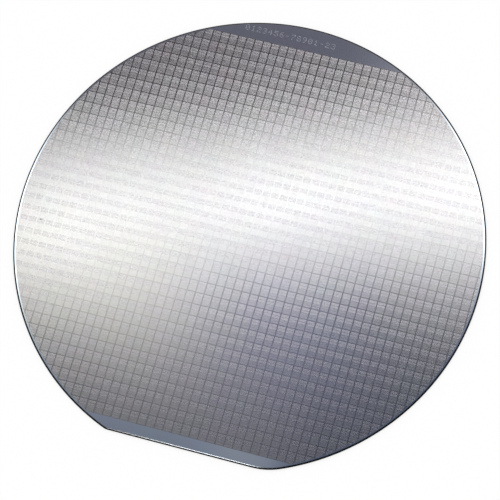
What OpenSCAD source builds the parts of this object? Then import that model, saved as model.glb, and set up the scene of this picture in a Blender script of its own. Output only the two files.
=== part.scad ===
// Silicon wafer: a thin disc of one crystal, with a straight flat ground on its rim and rows of
// chips built up as a thin film over its front face.
// It lies on its back: the back face is at z = 0, the front looks along +Z, the flat is at -Y.

/* [Disc] */
// Diameter of the round part of the rim
disc_d = 125; // [76:1:200]
// Thickness of the bare crystal
disc_t = 0.625; // [0.38:0.005:1]

/* [Flat] */
// Length that the flat has between sharp corners, before they are rounded
flat_len = 43; // [20:0.5:57]
// Radius that the flat's left corner is ground to
left_corner_r = 3; // [1:0.5:24]
// Radius that the flat's right corner is ground to
right_corner_r = 18; // [1:0.5:24]
// Straight grinding passes that round off one corner
corner_passes = 3; // [1:1:4]

/* [Rim] */
// Slope of the two ground bevels, measured from the faces
bevel_angle = 22; // [15:1:40]
// Radius of the rounded rim between the bevels
rim_r = 0.2; // [0.1:0.01:0.25]

/* [Chips] */
// Height of the finished film above the bare crystal
film_t = 0.006; // [0.002:0.001:0.05]
// Number of rows of chips
chip_rows = 35; // [5:1:35]
// Distance from one row of chips to the next
row_pitch = 3.175; // [1:0.005:3.175]
// How far the middle of the rows lies from the centre of the disc, along Y
rows_shift = 0.235; // [-1:0.005:1]
// Bare margin between the film and the bevel
film_margin = 0.1; // [0.05:0.05:3]

/* [Hidden] */
$fn = 128;

disc_r = disc_d / 2;
flat_reach = sqrt(pow(disc_r, 2) - pow(flat_len / 2, 2));
rows_len = chip_rows * row_pitch;

// The bevel touches the rounded rim at its own slope, and meets the face this far inside the rim.
bevel_w = rim_r * (1 - sin(bevel_angle))
    + (disc_t / 2 - rim_r * cos(bevel_angle)) / tan(bevel_angle);

// The direction that a straight side faces, turned from -Y, where the flat is, towards +X.
function facing(turn) = [sin(turn), -cos(turn)];

// Centre of the arc of radius r that touches the flat and, from inside, the round rim at +X.
function corner_centre(r) = [sqrt(pow(disc_r - r, 2) - pow(flat_reach - r, 2)), r - flat_reach];

// The passes that round the +X corner to radius r. Each one touches the corner's arc. A pass is
// the turn that its straight side faces and the side's reach from the centre of the disc.
function corner_sides(r) = [
    for (i = [1 : corner_passes])
        let (
            centre = corner_centre(r),
            turn = atan2(centre.x, -centre.y) * i / (corner_passes + 1)
        )
        [turn, r + centre * facing(turn)]
];

// Every straight side of the outline: the flat, and the passes at its two corners.
sides = [
    [0, flat_reach],
    each corner_sides(right_corner_r),
    for (side = corner_sides(left_corner_r)) [-side[0], side[1]]
];

// The rim's section, from x = 0 out to the rounded apex at x = reach.
module section(reach) {
    apex_x = reach - rim_r;
    touch_x = apex_x + rim_r * sin(bevel_angle);
    touch_z = rim_r * cos(bevel_angle);
    polygon([
        [0, 0],
        [reach - bevel_w, 0],
        [touch_x, disc_t / 2 - touch_z],
        [apex_x, disc_t / 2],
        [touch_x, disc_t / 2 + touch_z],
        [reach - bevel_w, disc_t],
        [0, disc_t]
    ]);
    translate([apex_x, disc_t / 2]) circle(rim_r);
}

// A slab that ends in a straight rim on one side and covers the disc on the other.
module slab(turn, reach) {
    rotate([0, 0, turn]) translate([-disc_r, 0, 0]) rotate([90, 0, 90])
        linear_extrude(disc_d) {
            mirror([1, 0]) section(reach);
            square([disc_r, disc_t]);
        }
}

// The bare crystal: a round disc ground straight at the flat and at the passes beside it.
module crystal() {
    intersection() {
        rotate_extrude() section(disc_r);
        intersection_for (side = sides) slab(side[0], side[1]);
    }
}

// The disc's flat outline, drawn in from the rim by a margin.
module outline(margin) {
    intersection() {
        circle(disc_r - margin);
        intersection_for (side = sides)
            rotate(side[0]) translate([-disc_r, margin - side[1]]) square(disc_d);
    }
}

// The film that all the chips are made in. Its long edges follow the first and the last row.
module film() {
    translate([0, 0, disc_t / 2]) linear_extrude(disc_t / 2 + film_t)
        intersection() {
            outline(bevel_w + film_margin);
            translate([0, rows_shift]) square([disc_d, rows_len], center = true);
        }
}

module wafer() {
    color([0.45, 0.46, 0.50]) union() {
        crystal();
        film();
    }
}

wafer();
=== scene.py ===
"""The finish of a round silicon wafer with rows of small chips, laid over its CAD frame.

All sizes are in metres, in the frame of the CAD model: the back face lies on z = 0, the chips look
along +Z, and the straight flat on the rim is at -Y. The wafer is one crystal. Three meshes stand for
it here, because they have three finishes: the crystal, the film of chips grown on it, and the
dotted mark scribed beside them.
"""

import logging
import math
from dataclasses import dataclass, field
from enum import Enum
from itertools import cycle

import bmesh
import bpy
import numpy as np
from mathutils import Matrix, Vector


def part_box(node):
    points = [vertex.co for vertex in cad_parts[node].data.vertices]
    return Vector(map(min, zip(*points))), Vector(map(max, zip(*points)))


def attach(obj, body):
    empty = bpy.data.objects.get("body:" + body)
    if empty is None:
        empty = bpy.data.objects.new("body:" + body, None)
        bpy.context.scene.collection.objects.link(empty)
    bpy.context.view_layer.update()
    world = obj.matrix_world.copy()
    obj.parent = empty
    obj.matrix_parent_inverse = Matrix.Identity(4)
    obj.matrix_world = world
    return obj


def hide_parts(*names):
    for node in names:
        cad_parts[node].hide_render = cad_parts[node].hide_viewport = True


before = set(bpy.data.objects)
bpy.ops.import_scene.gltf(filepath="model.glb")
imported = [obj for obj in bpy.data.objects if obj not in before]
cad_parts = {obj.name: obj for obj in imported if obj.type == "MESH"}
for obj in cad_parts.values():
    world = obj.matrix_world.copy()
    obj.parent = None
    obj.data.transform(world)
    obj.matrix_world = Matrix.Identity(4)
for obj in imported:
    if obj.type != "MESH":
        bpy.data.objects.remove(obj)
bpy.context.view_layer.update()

LOG = logging.getLogger("wafer")
MM = 0.001
BODY = "root"
NODE = "wafer"

Array = np.ndarray
Socket = bpy.types.NodeSocket
Colour = tuple[float, float, float]

WHITE: Colour = (1.0, 1.0, 1.0)
WELD = 1e-7  # points nearer than this are one point
GRAIN_RANGE = (0.2, 0.8)  # where nearly all of a grain's values lie


# ---- Meshes ----


def mesh_piece(name: str, points: Array, corners: Array, counts: Array) -> bpy.types.Object:
    """Make an object from whole arrays of points and faces.

    Args:
        name: Name of the new object and its mesh.
        points: One row of x, y, z for each point.
        corners: The faces' point numbers, one face after another.
        counts: How many corners each face has.

    Returns:
        The new object, at the origin, linked to the scene.
    """
    mesh = bpy.data.meshes.new(name)
    mesh.vertices.add(len(points))
    mesh.vertices.foreach_set("co", np.asarray(points, np.float32).ravel())
    mesh.loops.add(len(corners))
    mesh.loops.foreach_set("vertex_index", np.asarray(corners, np.int32))
    mesh.polygons.add(len(counts))
    starts = np.concatenate([[0], np.cumsum(counts)[:-1]])
    mesh.polygons.foreach_set("loop_start", np.asarray(starts, np.int32))
    mesh.update(calc_edges=True)
    mesh.validate()
    mesh.shade_flat()
    piece = bpy.data.objects.new(name, mesh)
    bpy.context.scene.collection.objects.link(piece)
    return piece


def grid_quads(rows: int, columns: int, closed: bool = False) -> Array:
    """List the quads of a grid of points that is numbered row by row.

    Args:
        rows: Rows of points.
        columns: Points in a row.
        closed: Whether the last point of a row joins the first one.

    Returns:
        One row of four point numbers for each quad, turning from columns towards rows.
    """
    across = np.arange(columns if closed else columns - 1)
    row = np.arange(rows - 1)[:, None] * columns
    ahead = (across + 1) % columns
    quads = np.stack([row + across, row + ahead, row + columns + ahead, row + columns + across], -1)
    return quads.reshape(-1, 4)


@dataclass(frozen=True)
class Arc:
    """A stretch of the rim's outline, seen from above and run against the clock."""

    centre: tuple[float, float]
    radius: float
    start: float
    end: float
    steps: int

    def directions(self) -> Array:
        """Give the outward direction at each step, as cosine and sine of the angle round the arc."""
        angle = np.linspace(self.start, self.end, self.steps + 1)
        return np.stack([np.cos(angle), np.sin(angle)], -1)

    def points(self) -> Array:
        """Give the arc's points: the centre plus the radius along each outward direction."""
        return np.asarray(self.centre) + self.radius * self.directions()


@dataclass(frozen=True)
class Disc:
    """The bare crystal's form: a round disc with one flat, ground to the same section all round."""

    radius: float
    thickness: float
    flat_reach: float
    left_corner: float = 3.0 * MM
    right_corner: float = 18.0 * MM
    apex_radius: float = 0.2 * MM
    bevel_angle: float = math.radians(22)
    apex_steps: int = 14
    rim_steps: int = 620
    left_steps: int = 10
    right_steps: int = 24

    @property
    def bevel(self) -> float:
        """Width of the bevel and the rounded apex together, measured along the face."""
        rise = self.thickness / 2 - self.apex_radius * math.cos(self.bevel_angle)
        run = self.apex_radius * (1 - math.sin(self.bevel_angle))
        return run + rise / math.tan(self.bevel_angle)

    def section(self) -> Array:
        """Work out the rim's section, from the back face round the apex to the front face.

        The apex is an arc of the apex radius, x = r (1 - cos a) and z = t / 2 + r sin a, that runs
        between the two bevels. A straight bevel joins each of its ends to a face.

        Returns:
            One row of the distance in from the rim and the height, for each ring of the mesh.
        """
        reach = math.pi / 2 - self.bevel_angle
        angle = np.linspace(-reach, reach, self.apex_steps + 1)
        inset = self.apex_radius * (1 - np.cos(angle))
        height = self.thickness / 2 + self.apex_radius * np.sin(angle)
        back, front = (self.bevel, 0.0), (self.bevel, self.thickness)
        return np.vstack([back, np.stack([inset, height], -1), front])

    def corner_centre(self, radius: float, side: int) -> tuple[float, float]:
        """Find the centre of a rounded corner, which touches the flat and the round rim.

        Args:
            radius: The corner's radius.
            side: 1 for the corner at +X, -1 for the one at -X.

        Returns:
            The centre's x and y.
        """
        down = radius - self.flat_reach
        return side * math.sqrt((self.radius - radius) ** 2 - down**2), down

    def outline(self) -> list[Arc]:
        """Cut the outline into arcs, against the clock.

        Returns:
            The round rim, then the left and the right corner of the flat.
        """
        left = self.corner_centre(self.left_corner, -1)
        right = self.corner_centre(self.right_corner, 1)
        left_turn = math.atan2(left[1], left[0]) + 2 * math.pi
        right_turn = math.atan2(right[1], right[0])
        flat_turn = 1.5 * math.pi
        return [
            Arc((0.0, 0.0), self.radius, right_turn, left_turn, self.rim_steps),
            Arc(left, self.left_corner, left_turn, flat_turn, self.left_steps),
            Arc(right, self.right_corner, flat_turn - 2 * math.pi, right_turn, self.right_steps),
        ]


class ChipZone(Enum):
    """What a face of a chip belongs to. The value tells the film's finish which it is."""

    WALL = 0.0
    CHANNEL = 0.25
    LOGIC = 0.5
    MEMORY = 1.0


@dataclass(frozen=True)
class ChipRows:
    """The rows of chips: where they lie, the form of one, and the least part kept at the rim."""

    column_pitch: float = 2.3425 * MM
    row_pitch: float = 3.175 * MM
    rows: int = 35
    centre_y: float = 0.235 * MM
    street_x: float = 0.03 * MM
    column_street: float = 0.28 * MM
    row_street: float = 0.215 * MM
    wall: float = 0.008 * MM
    channel_half: float = 0.06 * MM
    channel_depth: float = 0.0008 * MM
    root_depth: float = 0.002 * MM
    channels: tuple[float, ...] = (0.235, 0.487, 0.742)
    least_chip: float = 0.3 * MM

    @property
    def bottom(self) -> float:
        """The y of the first row's outer edge."""
        return self.centre_y - self.rows * self.row_pitch / 2

    @property
    def top(self) -> float:
        """The y of the last row's outer edge."""
        return self.centre_y + self.rows * self.row_pitch / 2

    @property
    def chip_size(self) -> tuple[float, float]:
        """Width and height of one chip between its streets."""
        return self.column_pitch - self.column_street, self.row_pitch - self.row_street

    def lines(self) -> tuple[Array, Array]:
        """Place the grid lines of one chip.

        Returns:
            The lines' x: a wall at each side. Then their y: a wall at the foot and the head, and
            for each channel its two banks with its bed between them.
        """
        width, height = self.chip_size
        across = [0.0, self.wall, width - self.wall, width]
        beds = np.asarray(self.channels)[:, None] * height
        banks = (beds + np.array([-1.0, 0.0, 1.0]) * self.channel_half).ravel()
        return np.array(across), np.array([0.0, self.wall, *banks, height - self.wall, height])


@dataclass(frozen=True)
class ChipFilm:
    """The film over the front face, etched into separate chips with streets between them.

    Attributes:
        disc: The crystal under it.
        layout: The rows and the form of a chip.
        film_top: Height of the chips' upper side.
        reach: Radius at which the film ends, short of the bevel.
    """

    disc: Disc
    layout: ChipRows
    film_top: float
    reach: float

    def corners(self) -> tuple[Array, Array]:
        """Place each chip's lower left corner, and keep the chips that the disc has room for.

        Returns:
            The corners' x, and their y.
        """
        rows = self.layout
        half = int(self.reach / rows.column_pitch) + 2
        width, height = rows.chip_size
        x = rows.street_x + rows.column_street / 2 + np.arange(-half, half) * rows.column_pitch
        y = rows.bottom + rows.row_street / 2 + np.arange(rows.rows) * rows.row_pitch
        x, y = (a.ravel() for a in np.meshgrid(x, y))
        near_x = np.clip(0.0, x, x + width)
        near_y = np.clip(0.0, y, y + height)
        kept = np.hypot(near_x, near_y) < self.reach - rows.least_chip
        return x[kept], y[kept]

    def build(self) -> bpy.types.Object:
        """Build the film as one mesh of closed chips.

        A chip is a grid of lines. Its outer lines lie a little inside the crystal, the next ones at
        the film's height, and the middle line of each channel at the channel's bed. A chip at the
        rim is cut along the film's edge: its y is held within the disc's height at its nearest x,
        and then each x within the disc's width at that y.

        Returns:
            The film, with a face attribute called zone.
        """
        across, along = self.layout.lines()
        x, y = self.corners()
        x, y = x[:, None] + across, y[:, None] + along

        nearest = np.clip(0.0, x[:, :1], x[:, -1:])
        span_y = np.sqrt(self.reach**2 - nearest**2)
        y = np.clip(y, -span_y, span_y)
        span_x = np.sqrt(np.maximum(self.reach**2 - y**2, 0.0))[:, :, None]
        x = np.clip(x[:, None, :], -span_x, span_x)
        y = np.broadcast_to(y[:, :, None], x.shape)
        z = np.broadcast_to(self.heights(), x.shape)
        points = np.stack([x, y, z], -1).reshape(-1, 3)

        quads = grid_quads(len(along), len(across))
        edge = self.edge_loop(len(along), len(across))
        one_chip = np.concatenate([quads.ravel(), edge])
        chips = len(x)
        size = len(along) * len(across)
        corners = (np.arange(chips)[:, None] * size + one_chip).ravel()
        counts = np.tile([4] * len(quads) + [len(edge)], chips)
        piece = mesh_piece("chip_film", points, corners, counts)
        zones = np.append(self.zones().ravel(), ChipZone.WALL.value)
        layer = piece.data.attributes.new("zone", "FLOAT", "FACE")
        layer.data.foreach_set("value", np.tile(zones, chips).astype(np.float32))
        self.clean(piece.data)
        LOG.info("chip film: %d chips, %d faces", chips, len(piece.data.polygons))
        return piece

    def heights(self) -> Array:
        """Set the height of each point of a chip's grid.

        Returns:
            The heights, one row for each line along y.
        """
        rows = self.layout
        across, along = rows.lines()
        height = np.full((len(along), len(across)), self.film_top)
        height[3:-2:3] -= rows.channel_depth
        height[[0, -1], :] = self.disc.thickness - rows.root_depth
        height[:, [0, -1]] = self.disc.thickness - rows.root_depth
        return height

    def zones(self) -> Array:
        """Say what each face of a chip's grid belongs to, from the chip's foot up.

        The faces come in threes along y: a block, then the two sides of a channel. The blocks under
        the middle channel hold the logic, and the ones over it hold the memory.

        Returns:
            The zones' values, one row for each step along y.
        """
        across, along = self.layout.lines()
        count = len(along) - 1
        block = (np.arange(count) - 1) // 3
        zone = np.where(block < 2, ChipZone.LOGIC.value, ChipZone.MEMORY.value)
        zone[(np.arange(count) - 1) % 3 != 0] = ChipZone.CHANNEL.value
        zone = np.repeat(zone[:, None], len(across) - 1, axis=1)
        zone[[0, -1], :] = ChipZone.WALL.value
        zone[:, [0, -1]] = ChipZone.WALL.value
        return zone

    @staticmethod
    def edge_loop(rows: int, columns: int) -> Array:
        """List the outer points of a grid, turning so that the face they close looks down."""
        number = np.arange(rows * columns).reshape(rows, columns)
        return np.concatenate([number[:-1, 0], number[-1, :-1], number[:0:-1, -1], number[0, :0:-1]])

    @staticmethod
    def clean(mesh: bpy.types.Mesh) -> None:
        """Merge the points that fell together where chips were cut, and drop faces of no area.

        Args:
            mesh: The film's mesh, which is changed.
        """
        work = bmesh.new()
        work.from_mesh(mesh)
        bmesh.ops.remove_doubles(work, verts=work.verts, dist=WELD)
        bmesh.ops.dissolve_degenerate(work, edges=work.edges, dist=WELD)
        work.to_mesh(mesh)
        work.free()


@dataclass(frozen=True)
class Crystal:
    """The disc of silicon itself: its two faces and the ground rim between them."""

    disc: Disc
    sharp_angle: float = math.radians(18)

    def build(self) -> bpy.types.Object:
        """Carry the rim's section round the outline and close both faces.

        Every ring of points is the outline moved inwards, against its outward direction, by the
        section's distance in from the rim. The straight flat is the gap between the two corner
        arcs. Each face is closed by a fan round its centre.

        Returns:
            The crystal's mesh.
        """
        whole, left, right = self.disc.outline()
        rim, out = (
            np.vstack([part(whole)[:-1], part(left), part(right)[:-1]])
            for part in (Arc.points, Arc.directions)
        )
        section = self.disc.section()
        inset, height = section[:, 0], section[:, 1]
        plan = rim[None] - inset[:, None, None] * out[None]
        tall = np.broadcast_to(height[:, None, None], (*plan.shape[:2], 1))
        rings = np.concatenate([plan, tall], -1).reshape(-1, 3)
        count, layers = len(rim), len(section)
        centres = np.array([[0.0, 0.0, 0.0], [0.0, 0.0, self.disc.thickness]])
        points = np.vstack([rings, centres])

        sides = grid_quads(layers, count, closed=True)
        here = np.arange(count)
        ahead = (here + 1) % count
        back = np.stack([ahead, here, np.full(count, len(rings))], -1)
        last = (layers - 1) * count
        front = np.stack([last + here, last + ahead, np.full(count, len(rings) + 1)], -1)
        corners = np.concatenate([sides.ravel(), back.ravel(), front.ravel()])
        counts = np.concatenate([np.full(len(sides), 4), np.full(2 * count, 3)])
        piece = mesh_piece("wafer_crystal", points, corners, counts)
        piece.data.polygons.foreach_set("use_smooth", np.ones(len(counts), bool))
        piece.data.set_sharp_from_angle(angle=self.sharp_angle)
        LOG.info("crystal: %d faces, bevel %.2f mm", len(counts), self.disc.bevel / MM)
        return piece


class DotSign(Enum):
    """The dots of each digit and of a dash, five wide and seven high, from the top row down."""

    ZERO = ("01110", "10001", "10011", "10101", "11001", "10001", "01110")
    ONE = ("00100", "01100", "00100", "00100", "00100", "00100", "01110")
    TWO = ("01110", "10001", "00001", "00110", "01000", "10000", "11111")
    THREE = ("01110", "10001", "00001", "00110", "00001", "10001", "01110")
    FOUR = ("00010", "00110", "01010", "10010", "11111", "00010", "00010")
    FIVE = ("11111", "10000", "11110", "00001", "00001", "10001", "01110")
    SIX = ("00110", "01000", "10000", "11110", "10001", "10001", "01110")
    SEVEN = ("11111", "00001", "00010", "00100", "01000", "01000", "01000")
    EIGHT = ("01110", "10001", "10001", "01110", "10001", "10001", "01110")
    NINE = ("01110", "10001", "10001", "01111", "00001", "00010", "01100")
    DASH = ("00000", "00000", "00000", "01110", "00000", "00000", "00000")


@dataclass(frozen=True)
class DotMark:
    """Plain counting digits in groups joined by dashes, scribed as shallow dots in the bare zone."""

    groups: tuple[int, ...] = (7, 5, 2)
    centre: tuple[float, float] = (-5.0 * MM, 58.75 * MM)
    letter_pitch: float = 1.6 * MM
    dot_pitch: float = 0.225 * MM
    dot_radius: float = 0.09 * MM
    dot_height: float = 0.003 * MM
    ring_shares: tuple[float, ...] = (1.0, 0.75, 0.4)
    ring_levels: tuple[float, ...] = (-0.5, 1.0, 0.35)
    sides: int = 8

    def dots(self) -> Array:
        """Place every dot: sign by sign, with a dash between two groups of digits.

        Returns:
            One row of x and y for the middle of each dot.
        """
        digits = cycle([sign for sign in DotSign if sign is not DotSign.DASH])
        line: list[DotSign] = []
        for size in self.groups:
            line += [DotSign.DASH] * bool(line) + [next(digits) for _ in range(size)]
        places = []
        for slot, sign in enumerate(line):
            pattern = np.array([[cell == "1" for cell in row] for row in sign.value])
            row, column = np.nonzero(pattern)
            x = slot * self.letter_pitch + column * self.dot_pitch
            places.append(np.stack([x, -row * self.dot_pitch], -1))
        dots = np.vstack(places)
        middle = (dots.min(0) + dots.max(0)) / 2
        return dots - middle + np.asarray(self.centre)

    def build(self, face: float) -> bpy.types.Object:
        """Build each dot as a low closed cone frustum with a raised lip and a sunken middle.

        Args:
            face: Height of the crystal's front face.

        Returns:
            The mark's mesh.
        """
        angle = np.arange(self.sides) * 2 * math.pi / self.sides
        circle = np.stack([np.cos(angle), np.sin(angle)], -1)
        shares = np.array(self.ring_shares)[:, None, None]
        levels = (face + self.dot_height * np.array(self.ring_levels))[:, None, None]
        height = np.broadcast_to(levels, (len(shares), self.sides, 1))
        rings = np.concatenate([shares * self.dot_radius * circle, height], -1).reshape(-1, 3)
        dots = self.dots()
        moved = rings + np.pad(dots, ((0, 0), (0, 1)))[:, None, :]
        sides = grid_quads(len(shares), self.sides, closed=True)
        lid = np.arange(len(rings) - self.sides, len(rings))
        foot = np.arange(self.sides)[::-1]
        one = np.concatenate([sides.ravel(), lid, foot])
        corners = (np.arange(len(dots))[:, None] * len(rings) + one).ravel()
        counts = np.tile([4] * len(sides) + [self.sides] * 2, len(dots))
        LOG.info("mark: %d dots", len(dots))
        return mesh_piece("dot_mark", moved.reshape(-1, 3), corners, counts)


# ---- Finishes ----


class Nodes:
    """A short way to place and join the nodes of one tree."""

    def __init__(self, tree: bpy.types.NodeTree) -> None:
        """Keep the tree that nodes are added to."""
        self.tree = tree

    def put(self, sock: Socket, value: object) -> None:
        """Join an output to an input, or set the input to a written value.

        Args:
            sock: The input.
            value: The output or the value.
        """
        if isinstance(value, Socket):
            self.tree.links.new(value, sock)
        else:
            sock.default_value = value

    def add(self, kind: str, inputs: dict | None = None, **settings: object) -> bpy.types.Node:
        """Add a node, set its own settings and fill or join its inputs.

        Args:
            kind: The node's type, such as ShaderNodeMath.
            inputs: For each input's name or number, a value, or the output that feeds it.
            **settings: Settings of the node itself, such as its operation.

        Returns:
            The new node.
        """
        node = self.tree.nodes.new(kind)
        for name, value in settings.items():
            setattr(node, name, value)
        for key, value in (inputs or {}).items():
            self.put(node.inputs[key], value)
        return node

    def maths(self, operation: str, *values: object) -> Socket:
        """Work out one number from others, each a number or an output."""
        return self.add("ShaderNodeMath", dict(enumerate(values)), operation=operation).outputs[0]

    def vector(self, operation: str, first: object, second: object) -> Socket:
        """Work out a vector or a colour from two others, each written out or an output."""
        node = self.add("ShaderNodeVectorMath", {0: first, 1: second}, operation=operation)
        return node.outputs["Vector"]

    def scaled(self, colour: object, share: object) -> Socket:
        """Make a colour lighter or darker by a share."""
        node = self.add("ShaderNodeVectorMath", {0: colour, "Scale": share}, operation="SCALE")
        return node.outputs["Vector"]

    def apart(self, first: object, second: object) -> Socket:
        """Measure the distance between two places."""
        node = self.add("ShaderNodeVectorMath", {0: first, 1: second}, operation="DISTANCE")
        return node.outputs["Value"]

    def split(self, place: Socket) -> tuple[Socket, Socket, Socket]:
        """Give the x, y and z of a place."""
        return tuple(self.add("ShaderNodeSeparateXYZ", {0: place}).outputs)

    def bump(self, height: Socket, distance: float, strength: float = 1.0) -> Socket:
        """Turn a height, as a share of a distance, into a normal."""
        inputs = {"Height": height, "Distance": distance, "Strength": strength}
        return self.add("ShaderNodeBump", inputs).outputs[0]

    def mix(self, share: object, first: object, second: object) -> Socket:
        """Mix two numbers: the first alone where the share is 0, the second where it is 1."""
        return self.add("ShaderNodeMix", {"Factor": share, "A": first, "B": second}).outputs[0]

    def blend(self, share: object, first: object, second: object) -> Socket:
        """Mix two colours, each written out or an output.

        Args:
            share: 0 for the first colour alone, 1 for the second alone.
            first: The first colour.
            second: The second colour.

        Returns:
            The mixed colour.
        """
        ends = {"Factor": share, "A": opaque(first), "B": opaque(second)}
        node = self.tree.nodes.new("ShaderNodeMix")
        node.data_type = "RGBA"
        for name, value in ends.items():
            wanted = "VALUE" if name == "Factor" else "RGBA"
            sock = next(s for s in node.inputs if s.name == name and s.type == wanted)
            self.put(sock, value)
        return next(s for s in node.outputs if s.type == "RGBA")

    def between(self, value: object, low: float, high: float, out: tuple[float, float] = (0.0, 1.0)
                ) -> Socket:
        """Carry a value smoothly from one range to another, and hold it at both ends.

        Args:
            value: What is carried over.
            low: Where its range starts.
            high: Where its range ends.
            out: What those two ends become.

        Returns:
            The new value.
        """
        inputs = {"Value": value, "From Min": low, "From Max": high, "To Min": out[0], "To Max": out[1]}
        node = self.add("ShaderNodeMapRange", inputs, interpolation_type="SMOOTHSTEP")
        return node.outputs[0]

    def fall(self, value: object, edge: float, fade: float) -> Socket:
        """Give 1 well below an edge and 0 well above it, and fade smoothly from one to the other."""
        return self.between(value, edge - fade, edge + fade, (1.0, 0.0))


def opaque(colour: object) -> object:
    """Give a written colour an alpha of one, and leave an output as it is."""
    return (*colour, 1.0) if isinstance(colour, tuple) and len(colour) == 3 else colour


def node_group(name: str, output: str, **inputs: object) -> tuple[Nodes, bpy.types.NodeOutputs, Socket]:
    """Start a shader node group that reads a place and named inputs, and gives one output.

    Args:
        name: Name of the group.
        output: What the output is, Color or Float.
        **inputs: Each input's usual value, a colour or a number, with underscores for spaces.

    Returns:
        The group's nodes, what its inputs give, and the socket that takes its result.
    """
    tree = bpy.data.node_groups.new(name, "ShaderNodeTree")
    tree.interface.new_socket(name="Vector", in_out="INPUT", socket_type="NodeSocketVector")
    for label, value in inputs.items():
        kind = "NodeSocketColor" if isinstance(value, tuple) else "NodeSocketFloat"
        label = label.replace("_", " ")
        sock = tree.interface.new_socket(name=label, in_out="INPUT", socket_type=kind)
        sock.default_value = opaque(value)
    tree.interface.new_socket(name=output, in_out="OUTPUT", socket_type=f"NodeSocket{output}")
    nodes = Nodes(tree)
    return nodes, nodes.add("NodeGroupInput").outputs, nodes.add("NodeGroupOutput").inputs[0]


def film_cast_group() -> bpy.types.NodeTree:
    """Build the faint drift of colour that a thin film shows where its depth varies.

    Returns:
        A group that tints a colour by three slow noises, one for each of red, green and blue.
    """
    nodes, given, result = node_group(
        "film_cast", "Color", Color=(0.5, 0.5, 0.5), Patch_Size=0.01, Amount=0.1
    )
    scale = nodes.maths("DIVIDE", 1.0, given["Patch Size"])
    noise = nodes.add(
        "ShaderNodeTexNoise",
        {"Vector": given["Vector"], "Scale": scale, "Detail": 2.0, "Roughness": 0.55},
    )
    parts = nodes.add("ShaderNodeSeparateColor", {"Color": noise.outputs["Color"]})
    gains = [
        nodes.maths("MULTIPLY_ADD", nodes.maths("SUBTRACT", part, 0.5), given["Amount"], 1.0)
        for part in parts.outputs
    ]
    gain = nodes.add("ShaderNodeCombineXYZ", dict(enumerate(gains)))
    nodes.put(result, nodes.vector("MULTIPLY", given["Color"], gain.outputs[0]))
    return nodes.tree


def speckle_group() -> bpy.types.NodeTree:
    """Build a fine uneven grain, from a fine noise with a little of a coarser one.

    Returns:
        A group that puts out a value round 0.5, for roughness, tone or bump.
    """
    nodes, given, result = node_group("speckle", "Float", Grain_Size=0.0003, Contrast=1.0)
    coarse_scale, coarse_share = 0.27, 0.15
    place = given["Vector"]
    scale = nodes.maths("DIVIDE", 1.0, given["Grain Size"])
    coarser = nodes.maths("MULTIPLY", scale, coarse_scale)
    fine = nodes.add(
        "ShaderNodeTexNoise", {"Vector": place, "Scale": scale, "Detail": 1.0, "Roughness": 0.6}
    )
    coarse = nodes.add("ShaderNodeTexNoise", {"Vector": place, "Scale": coarser, "Detail": 1.0})
    mean = nodes.mix(coarse_share, fine.outputs[0], coarse.outputs[0])
    centred = nodes.maths("SUBTRACT", mean, 0.5)
    nodes.put(result, nodes.maths("MULTIPLY_ADD", centred, given["Contrast"], 0.5))
    return nodes.tree


class Finish:
    """A material in the making: a Principled shader and the place on the piece that it reads."""

    def __init__(self, name: str) -> None:
        """Start a material with its own shader and its piece's coordinates.

        Args:
            name: The material's name.
        """
        self.material = bpy.data.materials.new(name)
        self.material.use_nodes = True
        tree = self.material.node_tree
        tree.nodes.clear()
        self.nodes = Nodes(tree)
        self.shader = self.nodes.add("ShaderNodeBsdfPrincipled")
        out = self.nodes.add("ShaderNodeOutputMaterial")
        tree.links.new(self.shader.outputs[0], out.inputs["Surface"])
        self.place = self.nodes.add("ShaderNodeTexCoord").outputs["Object"]

    def group(self, tree: bpy.types.NodeTree, **inputs: object) -> Socket:
        """Place a shared effect with its own values.

        Args:
            tree: The effect's node group.
            **inputs: Its inputs, named with underscores for spaces.

        Returns:
            The effect's output.
        """
        node = self.nodes.tree.nodes.new("ShaderNodeGroup")
        node.node_tree = tree
        for name, value in {"Vector": self.place, **inputs}.items():
            self.nodes.put(node.inputs[name.replace("_", " ")], opaque(value))
        return node.outputs[0]

    def feed(self, **inputs: object) -> None:
        """Set or join the shader's inputs, named with underscores for spaces."""
        for name, value in inputs.items():
            self.nodes.put(self.shader.inputs[name.replace("_", " ")], opaque(value))


@dataclass(frozen=True)
class SharedEffects:
    """The node groups that more than one finish uses."""

    cast: bpy.types.NodeTree = field(default_factory=film_cast_group)
    speckle: bpy.types.NodeTree = field(default_factory=speckle_group)


@dataclass(frozen=True)
class FilmTone:
    """The look of one part of the film: its colour, how metallic and how rough it is."""

    colour: Colour
    metallic: float
    roughness: float


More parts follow.
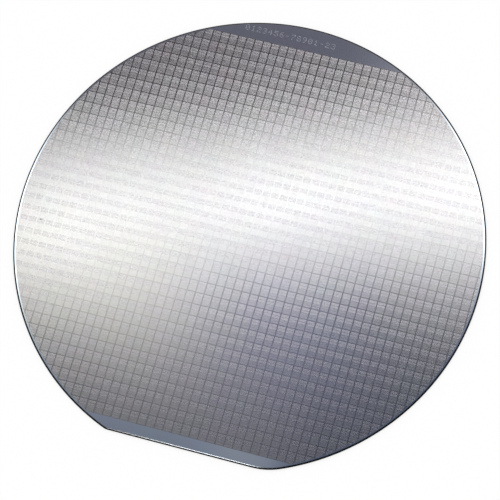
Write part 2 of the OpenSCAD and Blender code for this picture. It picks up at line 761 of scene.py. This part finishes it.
@dataclass(frozen=True)
class FilmFinish:
    """Satin metal film on the chips, with a finer finish over the logic than over the memory."""

    memory: FilmTone = FilmTone((0.409, 0.401, 0.411), 1.0, 0.245)
    logic: FilmTone = FilmTone((0.388, 0.384, 0.389), 0.921, 0.19)
    channel: FilmTone = FilmTone((0.34, 0.335, 0.345), 0.95, 0.15)
    wall: FilmTone = FilmTone((0.22, 0.22, 0.23), 0.95, 0.16)
    chip_shades: tuple[float, float] = (0.985, 1.015)
    zone_slack: float = 0.1
    cast_patch: float = 7 * MM
    cast_amount: float = 0.09
    grain_size: float = 0.12 * MM
    grain_depth: float = 0.30
    grain_height: float = 0.0070 * MM
    coarse_size: float = 0.35 * MM
    coarse_depth: float = 1.5
    coarse_edge: float = 27 * MM
    coarse_fade: float = 13 * MM
    coarse_slope: float = -0.3
    speck: Colour = (0.16, 0.16, 0.17)
    speck_at: tuple[float, float, float] = (-55.2 * MM, -8.1 * MM, 0.631 * MM)
    speck_radius: float = 0.22 * MM

    def make(self, effects: SharedEffects, layout: ChipRows) -> bpy.types.Material:
        """Build the material.

        Args:
            effects: The shared node groups.
            layout: The rows, whose pitch gives each chip its own shade.

        Returns:
            The finished material.
        """
        finish = Finish("chip_film_metal")
        nodes = finish.nodes
        zone = nodes.add("ShaderNodeAttribute", attribute_name="zone").outputs["Fac"]
        grain = finish.group(effects.speckle, Grain_Size=self.grain_size)
        shaded = nodes.scaled(self.by_zone(nodes, zone, "colour"), self.chip_shade(finish, layout))
        tinted = finish.group(
            effects.cast, Color=shaded, Patch_Size=self.cast_patch, Amount=self.cast_amount
        )
        grained = nodes.scaled(tinted, self.coarseness(finish, effects))
        off_speck = nodes.apart(finish.place, self.speck_at)
        in_speck = nodes.maths("LESS_THAN", off_speck, self.speck_radius)
        gain = nodes.between(grain, *GRAIN_RANGE, (1.0 - self.grain_depth, 1.0 + self.grain_depth))
        finish.feed(
            Base_Color=nodes.blend(in_speck, grained, self.speck),
            Metallic=self.by_zone(nodes, zone, "metallic"),
            Roughness=nodes.maths("MULTIPLY", self.by_zone(nodes, zone, "roughness"), gain),
            Normal=nodes.bump(grain, self.grain_height),
        )
        return finish.material

    def coarseness(self, finish: Finish, effects: SharedEffects) -> Socket:
        """Work out the light and dark grains of the film's coarser side, which is away from the flat.

        Args:
            finish: The finish that the nodes belong to.
            effects: The shared node groups.

        Returns:
            A share of the film's colour, one on the fine side and about one on the coarse side.
        """
        nodes = finish.nodes
        x, y, _ = nodes.split(finish.place)
        away = nodes.maths("MULTIPLY_ADD", x, self.coarse_slope, y)
        fine = nodes.fall(away, self.coarse_edge, self.coarse_fade)
        depth = nodes.maths("MULTIPLY", nodes.maths("SUBTRACT", 1.0, fine), self.coarse_depth)
        grains = finish.group(effects.speckle, Grain_Size=self.coarse_size)
        return nodes.maths("MULTIPLY_ADD", nodes.maths("SUBTRACT", grains, 0.5), depth, 1.0)

    def by_zone(self, nodes: Nodes, zone: Socket, part: str) -> Socket:
        """Choose one property of the film by the zone of the face it is on.

        Args:
            nodes: Where the nodes go.
            zone: The face's zone.
            part: Name of the property in the film's tones.

        Returns:
            A colour if the property is one, else a number.
        """
        steps = (
            (ChipZone.CHANNEL, self.channel),
            (ChipZone.LOGIC, self.logic),
            (ChipZone.MEMORY, self.memory),
        )
        chosen = getattr(self.wall, part)
        for name, tone in steps:
            reached = nodes.maths("GREATER_THAN", zone, name.value - self.zone_slack)
            value = getattr(tone, part)
            mix = nodes.blend if isinstance(value, tuple) else nodes.mix
            chosen = mix(reached, chosen, value)
        return chosen

    def chip_shade(self, finish: Finish, layout: ChipRows) -> Socket:
        """Give each chip its own slight shade, from the number of its column and row.

        Args:
            finish: The finish that the nodes belong to.
            layout: The rows, which number the chips.

        Returns:
            A share of the film's colour.
        """
        nodes = finish.nodes
        x, y, _ = nodes.split(finish.place)
        numbers = []
        for part, start, pitch in (
            (x, layout.street_x, layout.column_pitch),
            (y, layout.bottom, layout.row_pitch),
        ):
            steps = nodes.maths("DIVIDE", nodes.maths("SUBTRACT", part, start), pitch)
            numbers.append(nodes.maths("FLOOR", steps))
        number = nodes.add("ShaderNodeCombineXYZ", dict(enumerate(numbers))).outputs[0]
        noise = nodes.add("ShaderNodeTexWhiteNoise", {"Vector": number}, noise_dimensions="2D")
        return nodes.between(noise.outputs["Value"], 0.0, 1.0, self.chip_shades)


@dataclass(frozen=True)
class CrystalFinish:
    """Polished crystal in front, a ground rim darkened partly by painted shade, matte etched back."""

    bare: Colour = (0.54, 0.620, 0.70)
    street: Colour = (0.280, 0.280, 0.284)
    bevel: Colour = (0.30, 0.292, 0.29)
    # Partly painted shade: the near-black band runs from the apex over the outer half of each bevel. A
    # ground edge is darker of itself, but this band also stands in for the dark outline that the rim
    # shows in shade.
    apex_dark_and_painted_shade: Colour = (0.012, 0.012, 0.013)
    ground_and_painted_shade_reach: float = 0.258 * MM
    apex_fade: float = 0.02 * MM
    back: Colour = (0.46, 0.46, 0.47)
    back_pits: Colour = (0.24, 0.24, 0.25)
    skin: float = 0.01 * MM
    cast_patch: float = 12 * MM
    cast_amount: float = 0.12
    grain_size: float = 0.2 * MM
    grain_contrast: float = 1.5
    grain_height: float = 0.004 * MM
    grain_strength: float = 0.6
    etch_size: float = 3 * MM
    etch_contrast: float = 1.3
    grazing: Colour = (0.2, 0.2, 0.2)
    polished: float = 0.06
    polished_grain: float = 0.04
    haze: float = 0.092
    haze_slope: float = -0.5
    haze_edge: float = -25 * MM
    haze_fade: float = 25 * MM
    ground: float = 0.14
    ground_grain: float = 0.12
    matte: float = 0.24

    def make(self, effects: SharedEffects, disc: Disc, layout: ChipRows, reach: float
             ) -> bpy.types.Material:
        """Build the material.

        Args:
            effects: The shared node groups.
            disc: The crystal's form.
            layout: The rows, which bound the zone where the streets show.
            reach: Radius of that zone.

        Returns:
            The finished material.
        """
        finish = Finish("silicon_crystal")
        nodes = finish.nodes
        x, y, z = nodes.split(finish.place)
        off_middle = nodes.maths("ABSOLUTE", nodes.maths("SUBTRACT", y, layout.centre_y))
        in_rows = nodes.maths("LESS_THAN", off_middle, (layout.top - layout.bottom) / 2)
        level_place = nodes.add("ShaderNodeCombineXYZ", {0: x, 1: y}).outputs[0]
        in_reach = nodes.maths("LESS_THAN", nodes.apart(level_place, (0.0, 0.0, 0.0)), reach)
        streets = nodes.maths("MULTIPLY", in_rows, in_reach)
        below_front = nodes.maths("LESS_THAN", z, disc.thickness - self.skin)
        off_apex = nodes.maths("ABSOLUTE", nodes.maths("SUBTRACT", z, disc.thickness / 2))
        # The band round the apex and the outer bevels is matte ground, and its near-black colour is
        # partly painted shade.
        at_ground_and_painted_shade = nodes.fall(off_apex, self.ground_and_painted_shade_reach, self.apex_fade)
        at_back = nodes.maths("LESS_THAN", z, self.skin)
        grain = finish.group(
            effects.speckle, Grain_Size=self.grain_size, Contrast=self.grain_contrast
        )
        etch = finish.group(effects.speckle, Grain_Size=self.etch_size, Contrast=self.etch_contrast)

        front = nodes.blend(streets, self.bare, self.street)
        # Painted shade in part: the bevel's colour turns near-black over that band.
        rim = nodes.blend(at_ground_and_painted_shade, self.bevel, self.apex_dark_and_painted_shade)
        pits = nodes.maths("MULTIPLY", nodes.maths("ADD", grain, etch), 0.5)
        back = nodes.blend(pits, self.back_pits, self.back)
        colour = nodes.blend(at_back, nodes.blend(below_front, front, rim), back)
        colour = finish.group(
            effects.cast, Color=colour, Patch_Size=self.cast_patch, Amount=self.cast_amount
        )

        slant = nodes.maths("MULTIPLY_ADD", x, self.haze_slope, y)
        hazy = nodes.maths("MULTIPLY", streets, nodes.fall(slant, self.haze_edge, self.haze_fade))
        polished = nodes.maths("MULTIPLY_ADD", hazy, self.haze, self.polished)
        polished = nodes.maths("MULTIPLY_ADD", grain, self.polished_grain, polished)
        matte = nodes.maths("MAXIMUM", at_ground_and_painted_shade, at_back)
        ground = nodes.maths("MULTIPLY_ADD", matte, self.matte, self.ground)
        ground = nodes.maths("MULTIPLY_ADD", grain, self.ground_grain, ground)
        height = nodes.maths("MULTIPLY", grain, below_front)
        finish.feed(
            Base_Color=colour,
            Metallic=1.0,
            Roughness=nodes.mix(below_front, polished, ground),
            Specular_Tint=self.grazing,
            Normal=nodes.bump(height, self.grain_height, self.grain_strength),
        )
        return finish.material


@dataclass(frozen=True)
class MarkFinish:
    """Frosted dots where the scribe has melted the surface."""

    light: Colour = (0.46, 0.49, 0.53)
    dark: Colour = (0.322, 0.343, 0.371)
    metallic: float = 0.3
    roughness: tuple[float, float] = (0.4, 0.65)
    grain_size: float = 0.08 * MM
    grain_contrast: float = 2.0

    def make(self, effects: SharedEffects) -> bpy.types.Material:
        """Build the material.

        Args:
            effects: The shared node groups.

        Returns:
            The finished material.
        """
        finish = Finish("scribed_dots")
        nodes = finish.nodes
        grain = finish.group(
            effects.speckle, Grain_Size=self.grain_size, Contrast=self.grain_contrast
        )
        finish.feed(
            Base_Color=nodes.blend(grain, self.dark, self.light),
            Metallic=self.metallic,
            Roughness=nodes.between(grain, *GRAIN_RANGE, self.roughness),
        )
        return finish.material


# ---- Studio ----


@dataclass(frozen=True)
class Softbox:
    """A soft bright patch on the overhead panel: its place, size, turn, fade and radiance."""

    centre: tuple[float, float]
    size: tuple[float, float]
    turn: float
    fade: tuple[float, float]
    radiance: float
    tint: Colour = WHITE


@dataclass(frozen=True)
class Studio:
    """A pale floor under an even sky, a grey panel with softboxes that the metal mirrors, a camera."""

    floor_size: float = 4.0
    floor_gap: float = 0.02 * MM
    floor_colour: Colour = (0.99, 0.99, 0.99)
    floor_glow: float = 0.7
    panel_height: float = 0.25
    panel_size: float = 1.8
    grey_centre: tuple[float, float] = (-0.045, 0.25)
    grey_reach: float = 0.62
    grey_fade: float = 0.08
    panel_centre: tuple[float, float] = (-0.045, 0.095)
    around: Colour = (0.75, 0.75, 0.75)
    behind: Colour = (0.195, 0.172, 0.202)
    before_left: Colour = (0.345, 0.350, 0.397)
    before_right: Colour = (0.142, 0.160, 0.217)
    side_split: float = -0.0102
    side_fade: float = 0.0072
    strip_fade: float = 0.0415
    front_dim: float = 0.6
    front_edge: float = -0.040
    front_fade: float = 0.060
    front_least: Colour = (0.065, 0.068, 0.075)
    softboxes: tuple[Softbox, ...] = (
        Softbox((0.0694, 0.1280), (0.4577, 0.0463), 0.2833, (0.040, 0.0213), 3.11, (1.0, 1.015, 0.985)),
        Softbox((-0.1095, 0.0455), (0.111, 0.0300), 0.0, (0.0231, 0.0231), 1.45, (1.03, 1.0, 0.85)),
        Softbox((0.0431, 0.1216), (0.0803, 0.0803), 0.0, (0.0401, 0.0401), 0.836, (1.0, 0.945, 0.92)),
        Softbox((-0.1375, 0.215), (0.492, 0.0663), 0.0, (0.0155, 0.0155), 0.996, (0.864, 0.872, 0.938)),
        Softbox((-0.034, 0.1040), (0.040, 0.036), 0.0, (0.020, 0.018), 0.52, (1.0, 0.98, 1.0)),
        Softbox((-0.045, 0.080), (0.030, 0.028), 0.0, (0.015, 0.014), 0.28, (1.0, 0.98, 1.0)),
        Softbox((-0.024, 0.048), (0.056, 0.050), 0.0, (0.020, 0.020), 0.17, (0.30, 0.33, 1.6)),
        Softbox((-0.020, -0.004), (0.036, 0.020), 0.0, (0.012, 0.012), 0.08, (1.1, 1.0, 0.8)),
        Softbox((-0.046, -0.213), (0.050, 0.060), 0.0, (0.020, 0.020), 7.0),
    )
    eye: tuple[float, float, float] = (0.1117, -0.1929, 0.6207)
    aim: tuple[float, float] = (0.0013, -0.0025)
    turn: float = math.radians(16.13)
    lens: float = 180.3
    sensor_width: float = 36.0
    clip_start: float = 0.01

    def build(self, face: float) -> None:
        """Set up the floor, the sky, the panel and the camera.

        Args:
            face: Height of the wafer's front face, where the camera looks.
        """
        self.floor()
        self.sky()
        self.panel()
        self.camera(face)

    def sheet(self, name: str, centre: tuple[float, float], size: float, height: float
              ) -> bpy.types.Object:
        """Make a square sheet that lies flat, outside the object.

        Args:
            name: The sheet's name.
            centre: Its middle.
            size: Its side.
            height: Its z.

        Returns:
            The sheet.
        """
        half = size / 2
        signs = np.array([[-1, -1], [1, -1], [1, 1], [-1, 1]])
        points = np.column_stack([np.asarray(centre) + half * signs, np.full(4, height)])
        piece = mesh_piece(name, points, np.arange(4), np.array([4]))
        return piece

    def floor(self) -> None:
        """Lay a white floor just under the wafer's back, clear when seen from below."""
        piece = self.sheet("floor", (0.0, 0.0), self.floor_size, -self.floor_gap)
        finish = Finish("floor_white")
        finish.feed(Base_Color=self.floor_colour, Roughness=1.0, Specular_IOR_Level=0.0)
        nodes = finish.nodes
        rays = nodes.add("ShaderNodeLightPath").outputs
        seen = nodes.maths("MAXIMUM", rays["Is Camera Ray"], rays["Is Glossy Ray"])
        share = nodes.maths("MULTIPLY", seen, self.floor_glow)
        glow = nodes.add("ShaderNodeEmission", {"Color": opaque(WHITE), "Strength": 1.0})
        upper = nodes.add(
            "ShaderNodeMixShader", {0: share, 1: finish.shader.outputs[0], 2: glow.outputs[0]}
        )
        below = nodes.add("ShaderNodeNewGeometry").outputs["Backfacing"]
        clear = nodes.add("ShaderNodeBsdfTransparent")
        one_sided = nodes.add(
            "ShaderNodeMixShader", {0: below, 1: upper.outputs[0], 2: clear.outputs[0]}
        )
        out = nodes.tree.get_output_node("ALL")
        nodes.tree.links.new(one_sided.outputs[0], out.inputs["Surface"])
        piece.data.materials.append(finish.material)

    def sky(self) -> None:
        """Light everything evenly, and show white where nothing else is."""
        world = bpy.data.worlds.new("even_sky")
        bpy.context.scene.world = world
        world.use_nodes = True
        background = world.node_tree.nodes["Background"]
        background.inputs["Color"].default_value = opaque(WHITE)
        background.inputs["Strength"].default_value = 1.0

    def panel(self) -> None:
        """Hang the grey panel, which only mirrors see, and light its softboxes."""
        piece = self.sheet("mirror_panel", self.panel_centre, self.panel_size, self.panel_height)
        for rays in ("camera", "diffuse", "shadow", "transmission"):
            setattr(piece, f"visible_{rays}", False)
        material = bpy.data.materials.new("panel_light")
        material.use_nodes = True
        material.node_tree.nodes.clear()
        nodes = Nodes(material.node_tree)
        place = nodes.add("ShaderNodeTexCoord").outputs["Object"]
        total = self.panel_greys(nodes, place)
        for box in self.softboxes:
            offsets = self.box_place(nodes, place, box)
            shares = [
                nodes.fall(nodes.maths("ABSOLUTE", offset), size / 2, fade)
                for offset, size, fade in zip(offsets, box.size, box.fade)
            ]
            tint = tuple(part * box.radiance for part in box.tint)
            total = nodes.vector("ADD", total, nodes.scaled(tint, nodes.maths("MULTIPLY", *shares)))
        glow = nodes.add("ShaderNodeEmission", {"Color": total})
        out = nodes.add("ShaderNodeOutputMaterial")
        material.node_tree.links.new(glow.outputs[0], out.inputs["Surface"])
        piece.data.materials.append(material)

    def panel_greys(self, nodes: Nodes, place: Socket) -> Socket:
        """Colour the panel: greys behind and before its first softbox, and pale far out.

        Args:
            nodes: Where the nodes go.
            place: The place on the panel.

        Returns:
            The panel's colour before its softboxes are lit.
        """
        x, y, _ = nodes.split(place)
        left = nodes.fall(x, self.side_split, self.side_fade)
        sides = nodes.blend(left, self.before_right, self.before_left)
        near = nodes.fall(y, self.front_edge, self.front_fade)
        dimmed = nodes.vector("SUBTRACT", sides, nodes.maths("MULTIPLY", near, self.front_dim))
        before = nodes.vector("MAXIMUM", dimmed, self.front_least)
        _, beyond = self.box_place(nodes, place, self.softboxes[0])
        greys = nodes.blend(nodes.fall(beyond, 0.0, self.strip_fade), self.behind, before)
        off_centre = nodes.apart(place, (*self.grey_centre, self.panel_height))
        inside = nodes.fall(off_centre, self.grey_reach, self.grey_fade)
        return nodes.blend(inside, self.around, greys)

    @staticmethod
    def box_place(nodes: Nodes, place: Socket, box: Softbox) -> tuple[Socket, Socket]:
        """Measure a place on the panel from a softbox's centre.

        Args:
            nodes: Where the nodes go.
            place: The place on the panel.
            box: The softbox.

        Returns:
            The x and y along the softbox's own sides.
        """
        turned = nodes.add(
            "ShaderNodeMapping",
            {"Vector": place, "Location": (*box.centre, 0.0), "Rotation": (0.0, 0.0, box.turn)},
            vector_type="TEXTURE",
        )
        x, y, _ = nodes.split(turned.outputs[0])
        return x, y

    def camera(self, face: float) -> None:
        """Place the camera by its eye, the point it looks at and the way its picture is turned.

        Args:
            face: Height of the point it looks at.
        """
        data = bpy.data.cameras.new("camera")
        data.lens = self.lens
        data.sensor_width = self.sensor_width
        data.clip_start = self.clip_start
        camera = bpy.data.objects.new("camera", data)
        bpy.context.scene.collection.objects.link(camera)
        eye = Vector(self.eye)
        ahead = (Vector((*self.aim, face)) - eye).normalized()
        upward = Vector((-math.sin(self.turn), math.cos(self.turn), 0.0))
        right = ahead.cross(upward).normalized()
        up = right.cross(ahead)
        axes = Matrix((right, up, -ahead)).transposed()
        camera.matrix_world = Matrix.Translation(eye) @ axes.to_4x4()
        bpy.context.scene.camera = camera


# ---- The wafer ----


@dataclass
class Wafer:
    """The whole wafer: the crystal, the film of chips and the dotted mark."""

    film_height: float = 0.006 * MM
    film_margin: float = 0.3 * MM
    layout: ChipRows = field(default_factory=ChipRows)
    mark: DotMark = field(default_factory=DotMark)

    def __post_init__(self) -> None:
        """Take the disc's size from the CAD node's box."""
        low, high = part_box(NODE)
        self.disc = Disc(
            radius=min(high.x, -low.x, high.y),
            thickness=high.z - low.z - self.film_height,
            flat_reach=-low.y,
        )
        self.film_top = high.z

    def build(self) -> None:
        """Build and dress the three meshes, and hang them on the CAD body."""
        effects = SharedEffects()
        reach = self.disc.radius - self.disc.bevel - self.film_margin
        crystal = Crystal(self.disc).build()
        crystal.data.materials.append(
            CrystalFinish().make(effects, self.disc, self.layout, reach)
        )
        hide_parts(NODE)
        film = ChipFilm(self.disc, self.layout, self.film_top, reach).build()
        film.data.materials.append(FilmFinish().make(effects, self.layout))
        dots = self.mark.build(self.disc.thickness)
        dots.data.materials.append(MarkFinish().make(effects))
        for piece, slot in ((crystal, "silicon"), (film, "chip_film"), (dots, "silicon")):
            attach(piece, BODY)
            LOG.info("%s rides on %s", piece.name, BODY)


def main() -> None:
    """Build the wafer and the studio round it."""
    logging.basicConfig(level=logging.INFO, format="%(name)s: %(message)s")
    scene = bpy.context.scene
    scene.view_settings.view_transform = "Standard"
    wafer = Wafer()
    wafer.build()
    Studio().build(wafer.disc.thickness)


if __name__ == "__main__":
    main()
